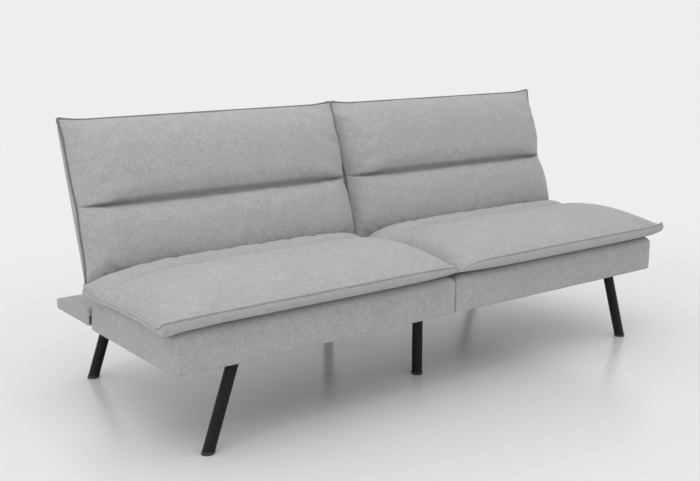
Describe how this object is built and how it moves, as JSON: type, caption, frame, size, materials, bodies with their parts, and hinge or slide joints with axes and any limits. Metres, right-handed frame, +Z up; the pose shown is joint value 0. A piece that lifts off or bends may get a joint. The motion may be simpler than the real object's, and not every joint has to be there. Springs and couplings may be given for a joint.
{
  "type": "sofa bed",
  "caption": "Armless click clack sofa bed: padded seat boxes on round steel legs, with split cushioned backs that fold down flat behind the seat.",
  "frame": {"origin": "on the floor, at the middle of the footprint of the whole object with its backs up", "axes": "+X along the seat, towards the right of someone who stands in front of it and looks at it; +Y from the front of the seat to the rear; +Z up"},
  "size_m": [1.86, 0.786, 0.7959],
  "materials": {
    "upholstery": "brushed woven suede-like cloth, light warm grey, sewn with a darker welt",
    "foam": "soft polyurethane foam, pale cream",
    "lining": "thin black spun cloth",
    "plywood": "raw birch plywood",
    "frame_paint": "black powder coat, satin",
    "leg_paint": "black paint, half gloss",
    "foot_plastic": "moulded black plastic",
    "zinc_steel": "zinc plated"
  },
  "bodies": {
    "base": {"centre_leg_front": "leg_paint", "centre_leg_rear": "leg_paint", "connector_bolts": "zinc_steel", "deck_tube_left": "frame_paint", "deck_tube_right": "frame_paint", "dust_cover_left": "lining", "dust_cover_right": "lining", "foot_cap_centre_front": "foot_plastic", "foot_cap_centre_rear": "foot_plastic", "foot_cap_front_left": "foot_plastic", "foot_cap_front_right": "foot_plastic", "foot_cap_rear_left": "foot_plastic", "foot_cap_rear_right": "foot_plastic", "front_leg_left": "leg_paint", "front_leg_right": "leg_paint", "front_tube_left": "frame_paint", "front_tube_right": "frame_paint", "hinge_base_inner_left": "frame_paint", "hinge_base_inner_right": "frame_paint", "hinge_base_outer_left": "frame_paint", "hinge_base_outer_right": "frame_paint", "inner_rail_left": "frame_paint", "inner_rail_right": "frame_paint", "ledge_board_left": "plywood", "ledge_board_right": "plywood", "ledge_cover_left": "upholstery", "ledge_cover_right": "upholstery", "ledge_tube_left": "frame_paint", "ledge_tube_right": "frame_paint", "leg_screws": "zinc_steel", "outer_rail_left": "frame_paint", "outer_rail_right": "frame_paint", "pivot_pins": "zinc_steel", "rear_leg_left": "leg_paint", "rear_leg_right": "leg_paint", "seat_box_cover_left": "upholstery", "seat_box_cover_right": "upholstery", "seat_cushion_left": "upholstery", "seat_cushion_right": "upholstery", "seat_deck_left": "plywood", "seat_deck_right": "plywood", "seat_foam_left": "foam", "seat_foam_right": "foam"},
    "back_left": {"back_cover_left": "upholstery", "back_board_left": "plywood", "back_tube_outer_left": "frame_paint", "back_tube_inner_left": "frame_paint", "back_cushion_left": "upholstery", "hinge_arm_outer_left": "frame_paint", "hinge_arm_inner_left": "frame_paint"},
    "latch_left": {"latch_left": "zinc_steel"},
    "back_right": {"back_cover_right": "upholstery", "back_board_right": "plywood", "back_tube_outer_right": "frame_paint", "back_tube_inner_right": "frame_paint", "back_cushion_right": "upholstery", "hinge_arm_outer_right": "frame_paint", "hinge_arm_inner_right": "frame_paint"},
    "latch_right": {"latch_right": "zinc_steel"}
  },
  "joints": [
    {"name": "back_left_recline", "type": "hinge", "parent": "base", "child": "back_left", "pos_m": [-0.45, 0.147, 0.288], "axis": [-1, 0, 0], "range_deg": [0, 72.3]},
    {"name": "latch_left_slide", "type": "slide", "parent": "base", "child": "latch_left", "axis": [0, -1, 0], "range_m": [0, 0.0036]},
    {"name": "back_right_recline", "type": "hinge", "parent": "base", "child": "back_right", "pos_m": [0.45, 0.147, 0.288], "axis": [-1, 0, 0], "range_deg": [0, 72.3]},
    {"name": "latch_right_slide", "type": "slide", "parent": "base", "child": "latch_right", "axis": [0, -1, 0], "range_m": [0, 0.0036]}
  ]
}
